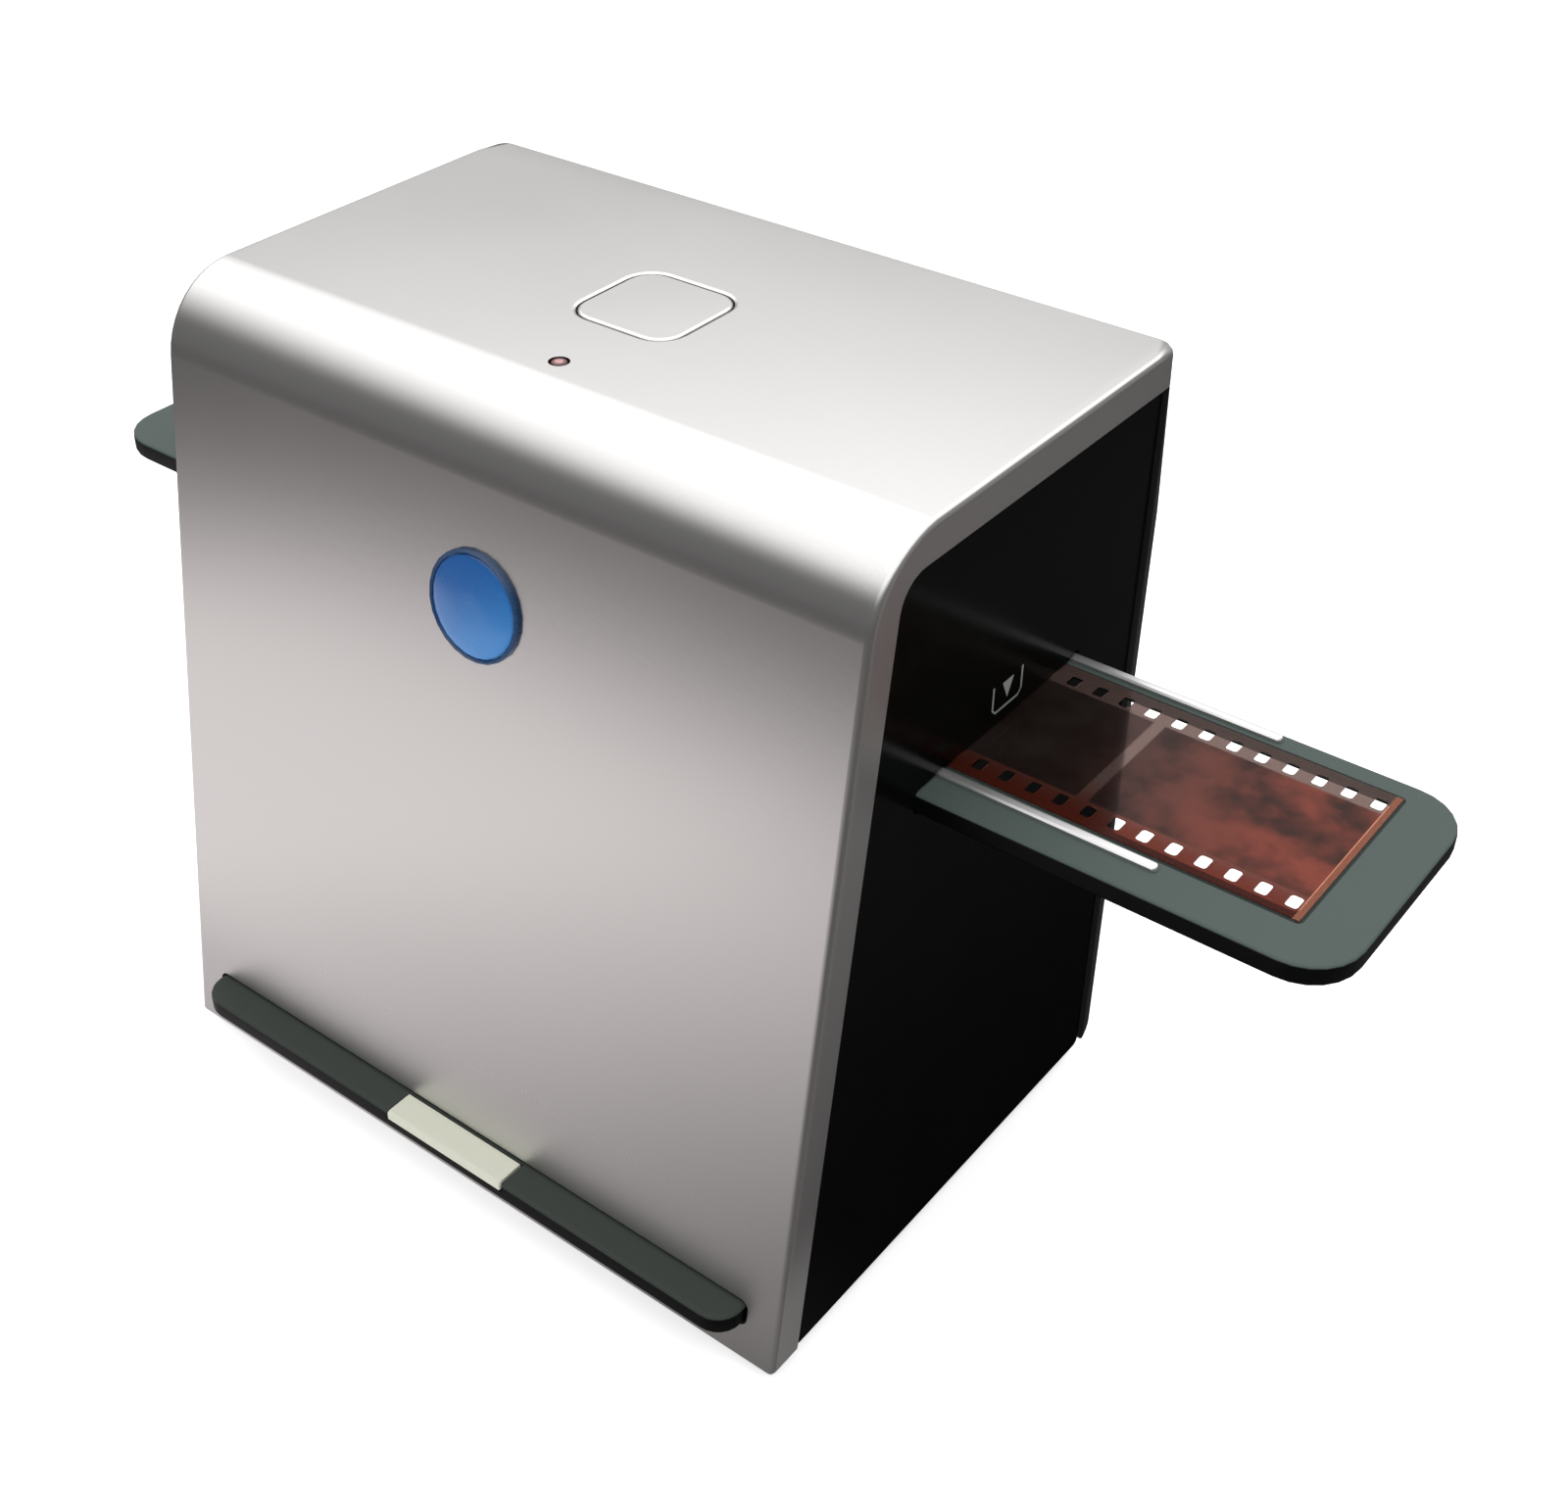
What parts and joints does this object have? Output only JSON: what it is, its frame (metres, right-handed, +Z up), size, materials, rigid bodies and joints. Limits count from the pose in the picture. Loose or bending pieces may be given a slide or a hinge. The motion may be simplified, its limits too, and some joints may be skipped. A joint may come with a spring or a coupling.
{
  "type": "film negative scanner",
  "caption": "Desktop scanner for film strips and small prints: silver wrap, gloss black sides, a film tray through both sides and a print tray at the front.",
  "frame": {"origin": "middle of the rest box, on the desk under the feet", "axes": "+X to the right along the film tray, +Y to the back, +Z up; the front faces -Y"},
  "size_m": [0.2572, 0.1084, 0.1537],
  "materials": {
    "silver_paint": "silver metallic paint, satin",
    "black_gloss": "high gloss",
    "black_matt": "fine matt grain",
    "soft_rubber": "matt",
    "tray_grey": "fine matt grain",
    "bar_grey": "satin",
    "rail_silver": "silver paint, bright",
    "film_brown": "glossy, see-through orange and brown",
    "cream_plastic": "satin",
    "badge_blue": "high gloss under a clear dome",
    "badge_rim_dark": "dark metallic",
    "lamp_red": "clear red, glossy",
    "white_plastic": "white, diffuse",
    "board_green": "solder mask, satin",
    "chip_black": "moulded epoxy",
    "bright_steel": "nickel plated",
    "lens_glass_look": "coated"
  },
  "bodies": {
    "housing": {"shell_wrap": "silver_paint", "side_panel_left": "black_gloss", "side_panel_right": "black_gloss", "rear_panel": "black_matt", "base_plate": "black_matt", "film_stage": "black_matt", "film_guide_front": "black_matt", "film_guide_back": "black_matt", "tray_runner_left": "black_matt", "tray_runner_right": "black_matt", "lens_holder": "black_matt", "lens_barrel": "black_matt", "board_header": "black_matt", "tact_switch": "black_matt", "foot_front_left": "soft_rubber", "foot_front_right": "soft_rubber", "foot_back_left": "soft_rubber", "foot_back_right": "soft_rubber", "badge_dome": "badge_blue", "badge_ring": "badge_rim_dark", "power_lamp": "lamp_red", "light_box": "white_plastic", "led_cover_left": "white_plastic", "led_cover_right": "white_plastic", "lamp_chip": "white_plastic", "main_board": "board_green", "sensor_board": "board_green", "led_board_left": "board_green", "led_board_right": "board_green", "main_chip": "chip_black", "image_sensor": "chip_black", "camera_bracket": "bright_steel", "usb_socket": "bright_steel", "base_screw_front_left": "bright_steel", "base_screw_front_right": "bright_steel", "base_screw_back_left": "bright_steel", "base_screw_back_right": "bright_steel", "board_screw_front_left": "bright_steel", "board_screw_front_right": "bright_steel", "board_screw_back_left": "bright_steel", "board_screw_back_right": "bright_steel", "bracket_screw_front_left": "bright_steel", "bracket_screw_front_right": "bright_steel", "bracket_screw_back_left": "bright_steel", "bracket_screw_back_right": "bright_steel", "rear_screw_low_left": "bright_steel", "rear_screw_low_right": "bright_steel", "rear_screw_high_left": "bright_steel", "rear_screw_high_right": "bright_steel", "lens_glass": "lens_glass_look"},
    "copy_button": {"copy_button": "silver_paint", "switch_plunger": "black_matt"},
    "film_tray": {"film_tray": "tray_grey", "film_rail_front": "rail_silver", "film_rail_back": "rail_silver"},
    "film_strip": {"film_strip": "film_brown"},
    "print_tray": {"print_tray": "bar_grey", "print_liner": "white_plastic", "tray_grip": "cream_plastic"}
  },
  "joints": [
    {"name": "copy_button_press", "type": "slide", "parent": "housing", "child": "copy_button", "axis": [0, 0, -1], "range_m": [0, 0.0005], "stiffness_N_per_m": 1000},
    {"name": "film_tray_slide", "type": "slide", "parent": "housing", "child": "film_tray", "axis": [1, 0, 0], "range_m": [-0.112, 0.112]},
    {"name": "film_strip_slide", "type": "slide", "parent": "film_tray", "child": "film_strip", "axis": [1, 0, 0], "range_m": [0, 0.1]},
    {"name": "print_tray_slide", "type": "slide", "parent": "housing", "child": "print_tray", "axis": [0, -1, 0], "range_m": [0, 0.085]}
  ]
}
